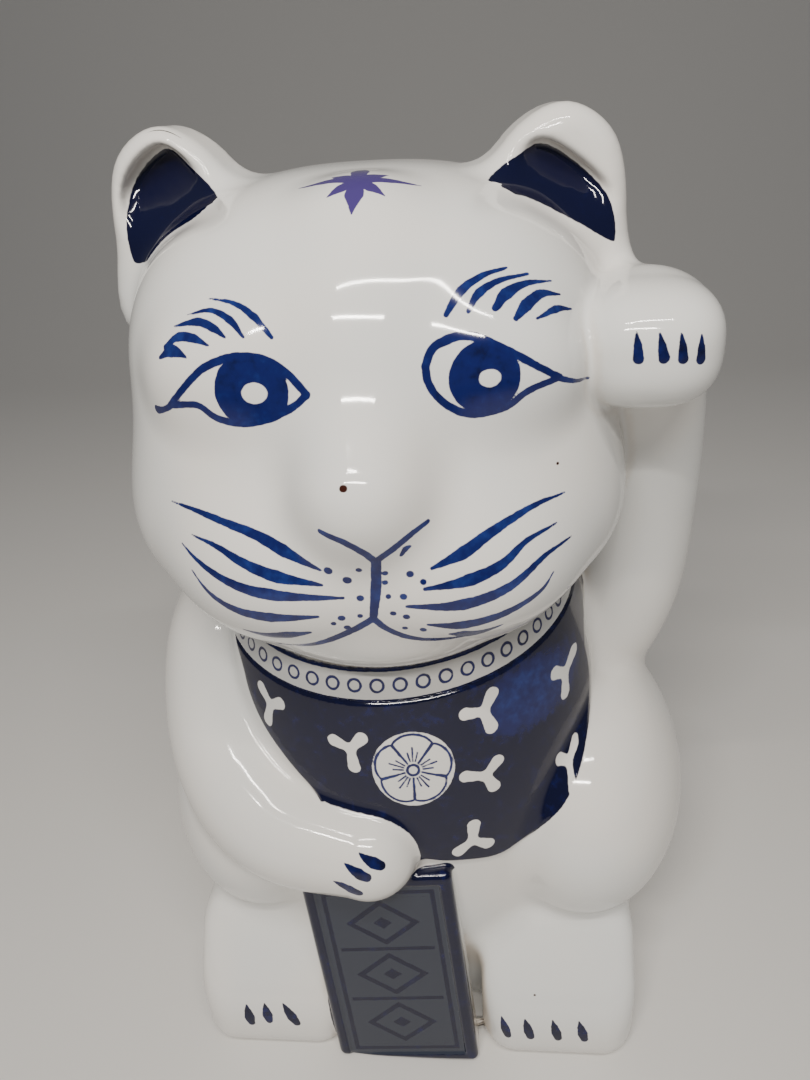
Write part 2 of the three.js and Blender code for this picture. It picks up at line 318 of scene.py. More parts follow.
def ear(p, side):
    """An upright lobe with rounded edges."""
    q = (p - np.array([HEAD_X + side * 27.5, -8, 160])) * np.array([side, 1, 1])
    q = q @ turned(z_degrees=EAR_TURN)
    across = outline_distance(q[:, [0, 2]], EAR_OUTLINE) + EAR_ROUNDING
    through = np.abs(q[:, 1]) - EAR_HALF_THICKNESS + EAR_ROUNDING
    lobe = np.stack([across, through], -1)
    return length(np.maximum(lobe, 0)) + np.minimum(lobe.max(-1), 0) - EAR_ROUNDING


def ear_dish(p, side):
    """The hollow scooped out of the front of an ear and the brow of the head below it."""
    q = (p - np.array([HEAD_X, 0, 0])) * np.array([side, 1, 1])
    lowest = DISH_MIDDLE - DISH_DEPTH * DISH_FACING
    scoop = length(q - lowest - DISH_RADIUS * DISH_FACING) - DISH_RADIUS
    return carve(outline_distance(q[:, [0, 2]], EAR_DISHES[side]), -scoop, 3)


def hind_leg(p, side):
    haunch_x, foot_x = (36, 31) if side > 0 else (31, 30)
    q = p * np.array([side, 1, 1])
    haunch = egg(q, (haunch_x, -6, 46), (24, 37, 29))
    foot = block(q, (foot_x, -27, 15), (16, 23, 17), 7)
    normal = np.array([0, -np.sin(INSTEP_SLOPE), np.cos(INSTEP_SLOPE)])
    instep = (q - np.array([foot_x, -36, 32])) @ normal
    foot = -melt(-foot, -instep, 4)
    return melt(haunch, foot, 3)


def raised_arm(p):
    paw = egg(p, (41.5, -23.5, 147.3), (11.5, 14, 9.6), 2.6)
    return melt(limb(p, RAISED_ARM), paw, 4)


def plaque(p):
    slab = block(p, PLAQUE_MIDDLE, PLAQUE_HALF, 1.4, PLAQUE_TURN)
    recess_middle = np.array(PLAQUE_MIDDLE) + PLAQUE_TURN @ np.array([0, -PLAQUE_HALF[1], 0])
    recess_half = (PLAQUE_HALF[0] - PLAQUE_BORDER, 0.5, PLAQUE_HALF[2] - PLAQUE_BORDER)
    recess = block(p, recess_middle, recess_half, 0.4, PLAQUE_TURN)
    return carve(slab, recess, 0.5)


FORMS = {  # each casting's own distance; the two reliefs and the base belong to the torso's surface
    "head": head,
    "left_ear": lambda p: ear(p, 1),
    "right_ear": lambda p: ear(p, -1),
    "torso": torso,
    "left_hind_leg": lambda p: hind_leg(p, 1),
    "right_hind_leg": lambda p: hind_leg(p, -1),
    "raised_arm": raised_arm,
    "lowered_arm": lambda p: limb(p, LOWERED_ARM),
    "tail": lambda p: limb(p, TAIL),
    "plaque": plaque,
}
MELTS = {  # how softly each casting runs into what is already there
    "left_hind_leg": 4,
    "right_hind_leg": 4,
    "raised_arm": 4,
    "lowered_arm": 2.5,
    "tail": 4,
    "head": 2,
    "left_ear": 5,
    "right_ear": 5,
    "plaque": 1,
}
FOOT_EDGE = 1.6


def form_of(node, p):
    return near_node(node, p, FORMS[node])


def figure(p):
    """The whole figure's distance."""
    made = form_of("torso", p)
    for node, width in MELTS.items():
        made = melt(made, form_of(node, p), width)
    for name, side in SIDES.items():
        made = carve(made, near_node(name + "_ear", p, lambda q: ear_dish(q, side)), DISH_EDGE)
    return -melt(-made, p[:, 2], FOOT_EDGE)


TETRAHEDRON = np.array([(1, 1, 1), (1, -1, -1), (-1, 1, -1), (-1, -1, 1)], float)


def slopes(form, p, reach=0.04):
    """The form's distance at p, and its gradient, from the four corners of a small tetrahedron."""
    around = [form(p + reach * corner) for corner in TETRAHEDRON]
    gradient = sum(value[:, None] * corner for value, corner in zip(around, TETRAHEDRON)) / (4 * reach)
    return sum(around) / 4, gradient


def settled(p, times=2):
    """Points moved onto the figure's surface."""
    for _ in range(times):
        gap, gradient = slopes(figure, p)
        steep = np.maximum((gradient**2).sum(-1), 0.05)
        p = p - np.clip(gap / steep, -2, 2)[:, None] * gradient
    return p


def facing(p):
    """The figure's outward normals at points on its surface."""
    gradient = slopes(figure, p)[1]
    return gradient / np.maximum(length(gradient), 1e-6)[:, None]


# ---- Meshing -------------------------------------------------------------------------------------
GRID = 1.5
CORNERS = np.array([(i, j, k) for i in (0, 1) for j in (0, 1) for k in (0, 1)])
CUBE_EDGES = [(a, b) for a in range(8) for b in range(a + 1, 8) if np.abs(CORNERS[a] - CORNERS[b]).sum() == 1]


def skin_net(form, low, high, pitch):
    """Surface net of the form: a vertex in each grid cell that it crosses, and the triangles between."""
    counts = np.ceil((high - low) / pitch).astype(int) + 1
    axes = [low[a] + pitch * np.arange(counts[a]) for a in range(3)]
    values = np.empty(counts)
    for i, x in enumerate(axes[0]):
        y, z = np.meshgrid(axes[1], axes[2], indexing="ij")
        values[i] = form(np.stack([np.full(y.size, x), y.ravel(), z.ravel()], -1)).reshape(y.shape)
    inside = values < 0
    cells = tuple(counts - 1)
    filled = sum(inside[tuple(slice(c[a], c[a] + cells[a]) for a in range(3))].astype(int) for c in CORNERS)
    crossed = np.argwhere((filled > 0) & (filled < 8))
    number = np.full(cells, -1)
    number[tuple(crossed.T)] = np.arange(len(crossed))

    at_corner = np.stack([values[tuple((crossed + c).T)] for c in CORNERS], -1)
    total = np.zeros((len(crossed), 3))
    hits = np.zeros(len(crossed))
    for a, b in CUBE_EDGES:
        cut = (at_corner[:, a] < 0) != (at_corner[:, b] < 0)
        t = at_corner[cut, a] / (at_corner[cut, a] - at_corner[cut, b])
        total[cut] += CORNERS[a] + t[:, None] * (CORNERS[b] - CORNERS[a])
        hits[cut] += 1
    points = low + pitch * (crossed + total / hits[:, None])

    triangles = []
    for axis in range(3):
        u, v = (axis + 1) % 3, (axis + 2) % 3
        ahead = np.eye(3, dtype=int)
        core = tuple(slice(0 if a == axis else 1, cells[a]) for a in range(3))
        nxt = tuple(slice(1, cells[a] + 1) if a == axis else slice(1, cells[a]) for a in range(3))
        here, there = inside[core], inside[nxt]
        for rising in (True, False):
            found = np.argwhere((here & ~there) if rising else (~here & there)) + (1 - ahead[axis])
            ring = [found, found - ahead[u], found - ahead[u] - ahead[v], found - ahead[v]]
            quad = np.stack([number[tuple(r.T)] for r in ring], -1)
            quad = quad if rising else quad[:, ::-1]
            triangles += [quad[:, [0, 1, 2]], quad[:, [0, 2, 3]]]
    return points, np.vstack(triangles)


def edge_table(triangles):
    """The mesh's edges, each once, and the three edges of each triangle."""
    pairs = np.sort(np.vstack([triangles[:, [0, 1]], triangles[:, [1, 2]], triangles[:, [2, 0]]]), axis=1)
    edges, which = np.unique(pairs, axis=0, return_inverse=True)
    return edges, which.reshape(3, -1).T


def relaxed(points, triangles, times=3):
    """Evens out the triangles: each vertex slides towards the middle of its neighbours, along the surface."""
    edges = edge_table(triangles)[0]
    for _ in range(times):
        total = np.zeros_like(points)
        count = np.zeros(len(points))
        for a, b in (edges.T, edges[:, ::-1].T):
            np.add.at(total, a, points[b])
            np.add.at(count, a, 1)
        points = settled((points + total / count[:, None]) / 2, times=1)
    return points


def split_edges(triangles, wanted):
    """Halves the wanted edges. Gives the new triangles and the pairs whose midpoints are the new vertices."""
    edges, of_triangle = edge_table(triangles)
    first_new = triangles.max() + 1
    middle = np.full(len(edges), -1)
    middle[wanted] = first_new + np.arange(wanted.sum())
    mids = middle[of_triangle]
    marks = (mids >= 0).sum(1)
    made = [triangles[marks == 0]]
    for turn in range(3):
        order = [turn, (turn + 1) % 3, (turn + 2) % 3]
        t, m = triangles[:, order], mids[:, order]
        one = (marks == 1) & (m[:, 0] >= 0)
        a, b, c, d = t[one, 0], t[one, 1], t[one, 2], m[one, 0]
        made += [np.stack([a, d, c], -1), np.stack([d, b, c], -1)]
        two = (marks == 2) & (m[:, 2] < 0)
        a, b, c, d, e = t[two, 0], t[two, 1], t[two, 2], m[two, 0], m[two, 1]
        made += [np.stack([d, b, e], -1), np.stack([a, d, e], -1), np.stack([a, e, c], -1)]
    three = marks == 3
    a, b, c, d, e, f = [column[three] for column in (*triangles.T, *mids.T)]
    made += [np.stack(corners, -1) for corners in ((a, d, f), (d, b, e), (f, e, c), (d, e, f))]
    return np.vstack(made), edges[wanted]


# ---- Brushwork -----------------------------------------------------------------------------------
FAR = 5.0  # the ink distance of bare porcelain
COBALT_HUE, VIOLET_HUE, RUST_HUE = 0.0, 1.0, -1.0
FROM_FRONT = np.array([0.0, 1.0, 0.0])
FROM_TOP = np.array([0.0, 0.0, -1.0])


MARCH_STEPS = 60
MARCH_LIMITS = (-1, 8)
MARCH_SHARE = 0.8  # of the distance, since the field isn't quite a true distance


def landed(points, ray, start=150.0, end=300.0):
    """Where rays through the points first meet the figure."""
    here = points - start * ray
    travelled = np.zeros(len(points))
    for _ in range(MARCH_STEPS):
        go = np.clip(figure(here), *MARCH_LIMITS) * MARCH_SHARE
        travelled += go
        here = here + np.where(travelled < end, go, 0)[:, None] * ray
    return here


class Brush:
    """Collects strokes drawn flat, then lays them all on the figure at once."""

    def __init__(self):
        self.strokes = []

    def stroke(self, route, widths, tone=0.45, hue=COBALT_HUE, ray=FROM_FRONT, per_span=6):
        """A stroke along (x, z) places seen from the front, or (x, y) places seen from the top."""
        flat = Route(route).samples(per_span)
        spine = np.zeros((len(flat), 3))
        spine[:, [0, 2] if ray is FROM_FRONT else [0, 1]] = flat
        share = np.linspace(0, 1, len(spine))
        half = np.interp(share, np.linspace(0, 1, len(widths)), widths) / 2
        self.strokes.append({"spine": spine, "half": half, "tone": tone, "hue": hue, "ray": ray})

    def dot(self, place, width, **look):
        x, z = place
        self.stroke([(x - 0.05, z), (x + 0.05, z)], (width, width), per_span=1, **look)

    def lay(self):
        for ray in (FROM_FRONT, FROM_TOP):
            chosen = [s for s in self.strokes if s["ray"] is ray]
            spines = landed(np.vstack([s["spine"] for s in chosen]), ray)
            ends = np.cumsum([len(s["spine"]) for s in chosen])[:-1]
            for s, spine in zip(chosen, np.split(spines, ends)):
                s["spine"] = spine
        return self.strokes


class Eye:
    """One painted eye: two lid lines, a dark iris between them, and the glint left white in it."""

    def __init__(self, upper, lower, iris, iris_radius, glint, glint_radii):
        self.upper, self.lower = upper, lower
        self.opening = np.vstack([Route(upper).samples(4), Route(lower).samples(4)[-2:0:-1]])
        self.iris, self.iris_radius = iris, iris_radius
        self.glint, self.glint_radii = glint, glint_radii


EYES = [
    Eye(
        upper=[(-7.3, 147.2), (-10.1, 149.8), (-13, 151.4), (-16.1, 152)]
        + [(-19.5, 151.6), (-23.2, 149.8), (-28.7, 144.7)],
        lower=[(-7.3, 147.2), (-9.4, 145.5), (-13.1, 143.6), (-17.2, 142.8)]
        + [(-21.1, 143.5), (-23.9, 145.3), (-28.7, 144.7)],
        iris=(-15.4, 147.3),
        iris_radius=5.4,
        glint=(-15, 147.1),
        glint_radii=(1.85, 1.45),
    ),
    Eye(
        upper=[(8.9, 150), (10, 152.2), (12.8, 153.4), (15.4, 153.4)]
        + [(18.5, 152.1), (21.7, 150.4), (27.3, 146.8)],
        lower=[(8.9, 150), (9.3, 147.8), (10.8, 145.5), (13.4, 143.6), (16.2, 143.1)]
        + [(19.9, 143.8), (23.1, 145.8), (27.3, 146.8)],
        iris=(16.9, 148),
        iris_radius=4.9,
        glint=(17.6, 148),
        glint_radii=(1.5, 1.2),
    ),
]


def draw_eyes(brush):
    for eye in EYES:
        brush.stroke(eye.upper, (1.1, 1.3, 1.3, 1.2, 1.0), tone=0.55)
        brush.stroke(eye.lower, (1.2, 1.1, 1.2, 1.1, 1.0), tone=0.55)
    brush.stroke([(-28.4, 144.8), (-30, 143.8), (-31.8, 143.3)], (1.0, 0.9, 1.4))
    brush.stroke([(27, 146.8), (29.4, 145.6), (32.1, 144.6)], (0.9, 0.7, 0.4))


def draw_brows(brush):
    for route, widths in (
        ([(-21.4, 159), (-17.5, 158.5), (-14.6, 156.9), (-12, 154.3)], (0.2, 0.7, 1.1, 0.6)),
        ([(-24.8, 156.9), (-21, 157.6), (-18, 156.5), (-16, 154.4)], (0.2, 0.8, 1.1, 0.4)),
        ([(-26.9, 155.4), (-23.1, 156.2), (-20.4, 155.5), (-18.7, 154.4)], (0.3, 1.3, 1.2, 0.4)),
        ([(-28.5, 152.8), (-26.1, 154.2), (-23.5, 154.2), (-21.2, 153.4)], (0.6, 1.5, 1.3, 0.3)),
        ([(-29.5, 151.3), (-27.2, 152.4), (-24.7, 151.8)], (0.6, 2, 0.4)),
        ([(20.1, 160.8), (16.9, 160.3), (13.9, 158.8), (11.8, 156.1)], (0.4, 0.9, 1.3, 0.8)),
        ([(23.1, 159.7), (19.2, 159.5), (16.2, 158.3), (14.8, 156.3)], (0.4, 0.9, 1.3, 0.6)),
        ([(26.5, 158.3), (22.8, 158.7), (20, 157.9), (18.4, 156.4)], (0.2, 1, 1.8, 1)),
        ([(27.7, 156.5), (24.9, 157.2), (22.7, 156.3), (21.2, 155)], (0.3, 1.4, 1.8, 0.8)),
        ([(29.4, 154.4), (27, 155.1), (24.1, 154.6)], (0.3, 1.2, 0.4)),
    ):
        brush.stroke(route, widths)


def draw_muzzle(brush):
    brush.stroke([(-5.7, 130.8), (-2.5, 129.6), (0, 127.6), (1.4, 125.6)], (0.9, 1.2, 1.2, 1.2))
    brush.stroke([(8.8, 130.2), (6.4, 129.1), (3.6, 127.2), (1.4, 125.6)], (0.7, 1.1, 1.3, 1.2))
    brush.stroke([(1.5, 125.6), (0.9, 119.6), (0.2, 115.1)], (1.5, 1.6, 1.2))
    mouth_right = [(0.2, 115.1), (-2.5, 113), (-7, 110.3), (-11, 108.6), (-16.1, 108)]
    mouth_left = [(0.2, 115.1), (1.9, 112.8), (4.8, 110.8), (8.2, 110), (12.3, 110.3), (15.3, 111.3)]
    brush.stroke(mouth_right, (1.2, 1.3, 1.2, 0.9, 0.3))
    brush.stroke(mouth_left, (1.2, 1.2, 1, 0.4))
    for place, width in (
        ((-5.6, 123.6), 1.3),
        ((-1.1, 124), 0.9),
        ((-3, 122), 1.3),
        ((-1.4, 118.8), 1.1),
        ((-4.5, 115.3), 1.1),
        ((-1.7, 115.6), 0.8),
        ((-5.8, 114.2), 0.8),
        ((-3.9, 113.3), 1),
        ((2.5, 123.1), 0.9),
        ((6, 122.6), 1.1),
        ((2.4, 121.4), 0.8),
        ((4.9, 119), 1),
        ((7.8, 121.3), 0.9),
        ((2.7, 119), 0.8),
        ((3.2, 116), 0.9),
        ((5.1, 115.4), 1),
        ((4.7, 112.9), 0.8),
        ((7.4, 112.6), 1),
    ):
        brush.dot(place, width)
    brush.stroke([(5, 126), (5.6, 126.9), (6.3, 127.2)], (0.5, 1.1, 0.5))


def draw_whiskers(brush):
    for route in (
        [(-31.2, 129.6), (-25.6, 129.4), (-17.2, 128), (-12.1, 126), (-6.8, 123.6)],
        [(-27.4, 126), (-22.8, 125.4), (-18.4, 123.8), (-13.3, 122.3), (-6.8, 121.1)],
        [(-29.5, 124.1), (-26, 122.3), (-20.3, 120.4), (-14.6, 119.5), (-3.9, 118.9)],
        [(-27.9, 120.6), (-24.9, 117.7), (-20.6, 115.9), (-15.2, 115.4), (-7.9, 115.7)],
        [(-20.7, 111.3), (-16.2, 111), (-9.6, 112.3)],
        [(28.6, 129.2), (23.7, 129), (17.9, 127.2), (13.6, 125), (9.1, 123.2)],
        [(27.3, 125.7), (22.7, 124.9), (19.2, 122.7), (14.5, 121.2), (8, 120.2)],
        [(29.7, 122.8), (25.2, 121.9), (20.2, 119.1), (13.4, 117.4), (5.3, 117.3)],
        [(26.8, 118.9), (24.7, 116.5), (19.2, 114.4), (13.3, 113.4), (8.2, 113.8)],
        [(19.3, 111.9), (15.3, 111), (11.3, 111.4)],
    ):
        brush.stroke(route, (0.25, 0.9, 1.5, 2.0, 0.5))


def draw_claws(brush):
    for tip, root in (
        ((38.1, 151.6), (38.5, 148)),
        ((41.2, 151.4), (42, 148)),
        ((44.2, 151.2), (44.7, 147.8)),
        ((47.1, 150.8), (47.3, 147.4)),
    ):
        brush.stroke([tip, root], (0.3, 1.2, 1.6), tone=0.8)
    for tip, root in (
        ((-6.5, 63), (-2.6, 60.8)),
        ((-9.3, 61.2), (-5.2, 59.2)),
        ((-11.5, 57.3), (-7, 55.5)),
    ):
        brush.stroke([tip, root], (0.3, 1.5, 2.2, 1.8), tone=0.8)
    for tip, root in (
        ((-35.4, 13), (-34.6, 8.6)),
        ((-31.4, 13.4), (-30.6, 9.4)),
        ((-27.4, 13.6), (-24.6, 9)),
    ):
        brush.stroke([tip, root], (0.3, 1.6, 2.3, 1.6), tone=0.9)
    for x in (19.7, 24.5, 30.2, 35.6):
        brush.stroke([(x - 0.6, 12.2), (x + 0.6, 7.8)], (0.3, 1.5, 2.1, 1.6), tone=0.9)


def draw_crown_flower(brush):
    """A small flower in thin violet wash on the top of the head, with two long points."""
    middle = np.array([-0.5, -29.3])
    for across, back, width in (
        (-9.2, 4.1, 1.5),
        (8.7, 3.3, 1.5),
        (0, 9, 2.8),
        (-0.4, -5.2, 2.8),
        (-4.1, -2.2, 2),
        (4, -2.2, 2),
        (-4, 3.4, 2.2),
        (4.1, 3.8, 2.2),
    ):
        tip = middle + np.array([across, back])
        route = [tuple(middle), tuple((middle + tip) / 2), tuple(tip)]
        brush.stroke(route, (1.6, width, 0.2), tone=0.25, hue=VIOLET_HUE, ray=FROM_TOP)


def draw_flecks(brush):
    """Iron flecks that came through in the firing."""
    brush.dot((-1.9, 137.2), 1.0, hue=RUST_HUE, tone=0.8)
    for place in ((27.5, 133.5), (39, 103), (26, 17)):
        brush.dot(place, 0.45, hue=RUST_HUE, tone=0.6)


def draw_collar_ties(brush):
    """Short dashes where the collar goes under the raised arm."""
    for route in ([(29.5, 113), (31, 112)], [(29.3, 109.5), (30.2, 108.5)], [(30.6, 107), (31.4, 106.3)]):
        brush.stroke(route, (0.5, 0.9))


BRUSH = Brush()
for draw in (
    draw_eyes,
    draw_brows,
    draw_muzzle,
    draw_whiskers,
    draw_claws,
    draw_crown_flower,
    draw_flecks,
    draw_collar_ties,
):
    draw(BRUSH)
STROKES = BRUSH.lay()

SPRIGS = [  # x and z of the middle, turn in degrees, and how much it is foreshortened sideways
    (-23.3, 84.5, -15, 0.75),
    (-7.6, 80.5, 10, 0.95),
    (16.2, 86.3, 25, 0.95),
    (31.6, 85.5, 5, 0.7),
    (16.4, 72.6, -100, 0.95),
    (32.6, 67.5, 15, 0.6),
    (13.8, 57.8, 180, 1.0),
]
SPRIG_LEAVES = [(148, 3.4), (38, 3.4), (-94, 3.9)]  # direction in degrees and reach
SPRIG_ROOT, SPRIG_TIP = 0.75, 1.25  # half-widths of a leaf
MEDAL = (3.5, 76.5)
MEDAL_RADII = (7.4, 8.1)
PETALS = 5
PLAQUE_SPILL = 0.5  # paint runs this far past the plaque where it meets the body
PLAQUE_CELLS = 3
LOZENGE_HALF = (6.6, 5.2)
COLLAR_SPILL = 1.7
COLLAR_RADIUS = 36.5
COLLAR_RINGS = 56
RING_RADIUS = 1.15


def disc(flat, middle, radii):
    """Distance of 2-D points from an ellipse."""
    k = np.hypot((flat[:, 0] - middle[0]) / radii[0], (flat[:, 1] - middle[1]) / radii[1])
    return (k - 1) * min(radii)


def sprig(flat, x, z, degrees, squeeze):
    """A small spray of three rounded leaves."""
    turn = np.radians(degrees)
    across = (flat[:, 0] - x) / squeeze
    up = flat[:, 1] - z
    u = np.cos(turn) * across + np.sin(turn) * up
    v = np.cos(turn) * up - np.sin(turn) * across
    made = np.full(len(flat), FAR)
    for angle, reach in SPRIG_LEAVES:
        way = np.array([np.cos(np.radians(angle)), np.sin(np.radians(angle))])
        t = np.clip((u * way[0] + v * way[1]) / reach, 0, 1)
        gap = np.hypot(u - t * reach * way[0], v - t * reach * way[1])
        made = melt(made, gap - SPRIG_ROOT - t * (SPRIG_TIP - SPRIG_ROOT), 0.8)
    return made * squeeze


def medal_lines(flat):
    """The lines of a round blossom: scalloped petals, their partings, stamens and a ringed heart."""
    u = (flat[:, 0] - MEDAL[0]) / MEDAL_RADII[0]
    v = (flat[:, 1] - MEDAL[1]) / MEDAL_RADII[1]
    scale = min(MEDAL_RADII)
    r = np.hypot(u, v)
    angle = np.arctan2(v, u) - np.radians(90 - 180 / PETALS)
    petal = 2 * np.pi / PETALS
    off_parting = (angle + petal / 2) % petal - petal / 2
    off_middle = angle % petal - petal / 2
    rim = 0.82 + 0.12 * np.abs(np.sin(PETALS * angle / 2)) ** 0.7
    scallops = np.abs(r - rim) - 0.032
    partings = np.maximum(np.abs(r * np.sin(off_parting)) - 0.02 - 0.03 * r, np.maximum(0.2 - r, r - rim))
    stamens = [
        np.maximum(np.abs(r * np.sin(off_middle - lean)) - 0.022, np.maximum(0.22 - r, r - reach))
        for lean, reach in ((0, 0.62), (-0.26, 0.5), (0.26, 0.5))
    ]
    heart = np.abs(r - 0.14) - 0.035
    return np.min([scallops, partings, heart, *stamens], axis=0) * scale


def collar_lines(p):
    """Two edge lines and a row of small rings between them."""
    height = collar_height(p)
    lean = torso_profile(p[:, 2])[1]
    pitch = 2 * np.pi * COLLAR_RADIUS / COLLAR_RINGS
    along = COLLAR_RADIUS * np.arctan2(p[:, 0], -(p[:, 1] + lean)) % pitch - pitch / 2
    rings = np.abs(np.hypot(along, height) - RING_RADIUS) - 0.25
    edges = np.minimum(np.abs(height - COLLAR_HALF + 0.4) - 0.25, np.abs(height + COLLAR_HALF - 0.3) - 0.3)
    return np.minimum(rings, edges)


def plaque_frame(p):
    """Places on the plaque: across, up, and out from its middle."""
    q = (p - np.array(PLAQUE_MIDDLE)) @ PLAQUE_TURN
    return q[:, 0], q[:, 2], -q[:, 1]


def off_plaque(p):
    """How far points are beyond where the plaque's paint may spill, which keeps it off the foot."""
    return form_of("plaque", p) - PLAQUE_SPILL


def plaque_lines(p):
    """A dark frame, an inner line, and a plain chain of lozenges and bars."""
    across, up, out = plaque_frame(p)
    inner = np.maximum(np.abs(across) - PLAQUE_HALF[0], np.abs(up) - PLAQUE_HALF[2])
    frame_band = np.maximum(-inner - 2.4, inner - 1.0)
    inner_line = np.abs(inner + 4.2) - 0.45
    cell = (2 * PLAQUE_HALF[2] - 10) / PLAQUE_CELLS
    within_cell = (up + PLAQUE_CELLS / 2 * cell) % cell - cell / 2
    lozenge = (np.abs(across) / LOZENGE_HALF[0] + np.abs(within_cell) / LOZENGE_HALF[1] - 1) * 4.1
    lozenges = np.minimum(np.abs(lozenge) - 0.55, lozenge + 2.9)
    bars = np.abs(np.abs(within_cell) - cell / 2) - 0.45
    pattern = np.maximum(np.minimum(lozenges, bars), inner + 5.4)
    drawn = np.min([frame_band, inner_line, pattern], axis=0)
    behind = np.minimum(PLAQUE_FACE - out, PLAQUE_HALF[2] - 1.5 - up)
    return np.max([drawn, behind, off_plaque(p)], axis=0)


class Paint:
    """The paint at some points: how far outside its edge they are, and how it looks there."""

    def __init__(self, points):
        self.points = points
        self.ink = np.full(len(points), FAR)
        self.tone = np.zeros(len(points))
        self.hue = np.zeros(len(points))

    def near(self, low, high):
        """Numbers of the points in a box, with a margin."""
        margin = FAR / 2
        above = self.points > np.array(low) - margin
        below = self.points < np.array(high) + margin
        return np.flatnonzero((above & below).all(-1))

    def add(self, which, gap, tone, hue=COBALT_HUE):
        closer = gap < self.ink[which]
        hit = which[closer]
        self.ink[hit] = gap[closer]
        self.tone[hit] = tone if np.isscalar(tone) else tone[closer]
        self.hue[hit] = hue

    def reserve(self, which, gap):
        """Leaves the body bare where gap is negative."""
        self.ink[which] = np.maximum(self.ink[which], -gap)

    def strokes(self):
        for s in STROKES:
            which = self.near(s["spine"].min(0), s["spine"].max(0))
            p = self.points[which]
            for a, b, ra, rb in zip(s["spine"][:-1], s["spine"][1:], s["half"][:-1], s["half"][1:]):
                along = b - a
                t = np.clip((p - a) @ along / max(along @ along, 1e-9), 0, 1)
                gap = length(p - a - t[:, None] * along) - (ra + t * (rb - ra))
                self.add(which, gap, s["tone"], s["hue"])

    def eyes(self):
        for eye in EYES:
            low, high = eye.opening.min(0), eye.opening.max(0)
            which = self.near((low[0], -60, low[1]), (high[0], -20, high[1]))
            flat = self.points[which][:, [0, 2]]
            iris = disc(flat, eye.iris, (eye.iris_radius, eye.iris_radius))
            self.add(which, np.maximum(iris, outline_distance(flat, eye.opening)), 0.62)
            glint = disc(flat, eye.glint, eye.glint_radii)
            self.reserve(which, glint)

    def ears(self):
        for name, side in SIDES.items():
            which = self.near(*NODE_BOXES[name + "_ear"])
            q = (self.points[which] - np.array([HEAD_X, 0, 0])) * np.array([side, 1, 1])
            gap = np.maximum(outline_distance(q[:, [0, 2]], EAR_DISHES[side]) + 0.8, q[:, 1] + 5)
            self.add(which, gap, 1.1)

    def bib(self):
        which = self.near(NODE_BOXES["bib"][0] - 4, NODE_BOXES["bib"][1] + 4)
        p = self.points[which]
        flat = p[:, [0, 2]]
        lighter = step(-disc(flat, (25, 86), (8, 6)), -3, 2)
        spill = np.where(p[:, 0] < 8, 1.7, 5)  # over the haunch, but not over the forearm
        off_torso = bare_torso(p) - spill
        self.add(which, np.maximum(bib_distance(p), off_torso), 1.0 - 0.55 * lighter)
        for place in SPRIGS:
            self.reserve(which, sprig(flat, *place))
        medal = disc(flat, MEDAL, MEDAL_RADII)
        self.reserve(which, medal)
        self.add(which, np.maximum(np.maximum(medal_lines(flat), medal), off_torso), 0.55)

    def collar(self):
        which = self.near(NODE_BOXES["collar"][0] - 3, NODE_BOXES["collar"][1] + 3)
        p = self.points[which]
        self.add(which, np.maximum(collar_lines(p), bare_torso(p) - COLLAR_SPILL), 0.7)

    def plaque(self):
        which = self.near(*NODE_BOXES["plaque"])
        self.add(which, plaque_lines(self.points[which]), 1.0)

    def all(self):
        self.strokes()
        self.eyes()
        self.ears()
        self.bib()
        self.collar()
        self.plaque()
        return {"ink": self.ink, "tone": self.tone, "hue": self.hue}


def wash_and_collar_shade(points):
    """Share of dark slate mixed into the colour: strong on the plaque's panel, a thin slate wash; faint on
    the collar, a grey tint of the band with painted shade under the chin.
    """
    across, up, out = plaque_frame(points)
    panel = np.maximum(np.abs(across) - PLAQUE_HALF[0], np.abs(up) - PLAQUE_HALF[2]) + 1.6
    panel = np.max([panel, PLAQUE_FACE - out, off_plaque(points)], axis=0)
    # the collar band's faint share: its grey tint and painted shade under the chin
    band = np.maximum(np.abs(collar_height(points)) - COLLAR_HALF, bare_torso(points) - COLLAR_SPILL)
    return np.maximum(step(-panel, -0.2, 0.4), 0.3 * step(-band, -0.2, 0.4))


def painted(points, normals):
    """The paint and shading attributes at points on the skin."""
    paint = Paint(points).all()
    # wash: the plaque's slate wash, and on the collar band a grey tint with painted shade under the chin
    paint["wash"] = wash_and_collar_shade(points)
    # hollow: how enclosed each point is; the glaze material darkens creases and hollows by it, as painted
    # shade with the warm tint of glaze pooled there
    paint["hollow"] = np.clip(1 - figure(points + 3 * normals) / 3, 0, 1)
    return paint


FINEST_EDGE = 0.36  # the shortest that paint may ask for
EDGE_AT_STROKE = 0.2
EDGE_GROWTH = 0.7  # of the edge length with the distance from a stroke's edge
SHARP_BEND = 12  # degrees between the normals at an edge's ends
FINEST_BEND = 0.45  # a sharply bent edge is halved while it is longer than this


def finest(paint):
    """The edge length that a vertex's paint asks for: short beside the edge of a stroke."""
    return np.clip(EDGE_AT_STROKE + EDGE_GROWTH * np.abs(paint["ink"]), FINEST_EDGE, 2 * GRID)


